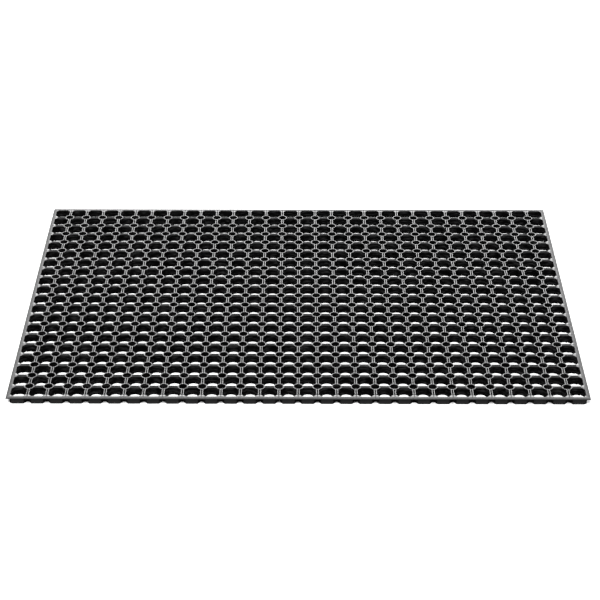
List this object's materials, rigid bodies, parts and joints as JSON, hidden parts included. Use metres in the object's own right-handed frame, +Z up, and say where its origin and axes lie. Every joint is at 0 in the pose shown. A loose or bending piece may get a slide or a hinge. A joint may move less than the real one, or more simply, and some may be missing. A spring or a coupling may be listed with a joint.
{
  "type": "rubber ring mat",
  "caption": "Heavy black rubber door mat: a flat rectangular lattice of octagonal drainage cells with small round holes between them and a plain straight edge",
  "frame": {"origin": "middle of the underside, on the floor", "axes": "+X along the long side, +Y from the front edge to the back edge, +Z up"},
  "size_m": [1.5, 1.003, 0.022],
  "materials": {
    "rubber": "satin black moulded rubber with a fine grain, slightly shiny on the top edges"
  },
  "bodies": {
    "root": {"ring_row_01": "rubber", "ring_row_02": "rubber", "ring_row_03": "rubber", "ring_row_04": "rubber", "ring_row_05": "rubber", "ring_row_06": "rubber", "ring_row_07": "rubber", "ring_row_08": "rubber", "ring_row_09": "rubber", "ring_row_10": "rubber", "ring_row_11": "rubber", "ring_row_12": "rubber", "ring_row_13": "rubber", "ring_row_14": "rubber", "ring_row_15": "rubber", "ring_row_16": "rubber", "ring_row_17": "rubber", "ring_row_18": "rubber", "ring_row_19": "rubber", "ring_row_20": "rubber", "front_rail": "rubber", "back_rail": "rubber", "left_rail": "rubber", "right_rail": "rubber"}
  },
  "joints": []
}
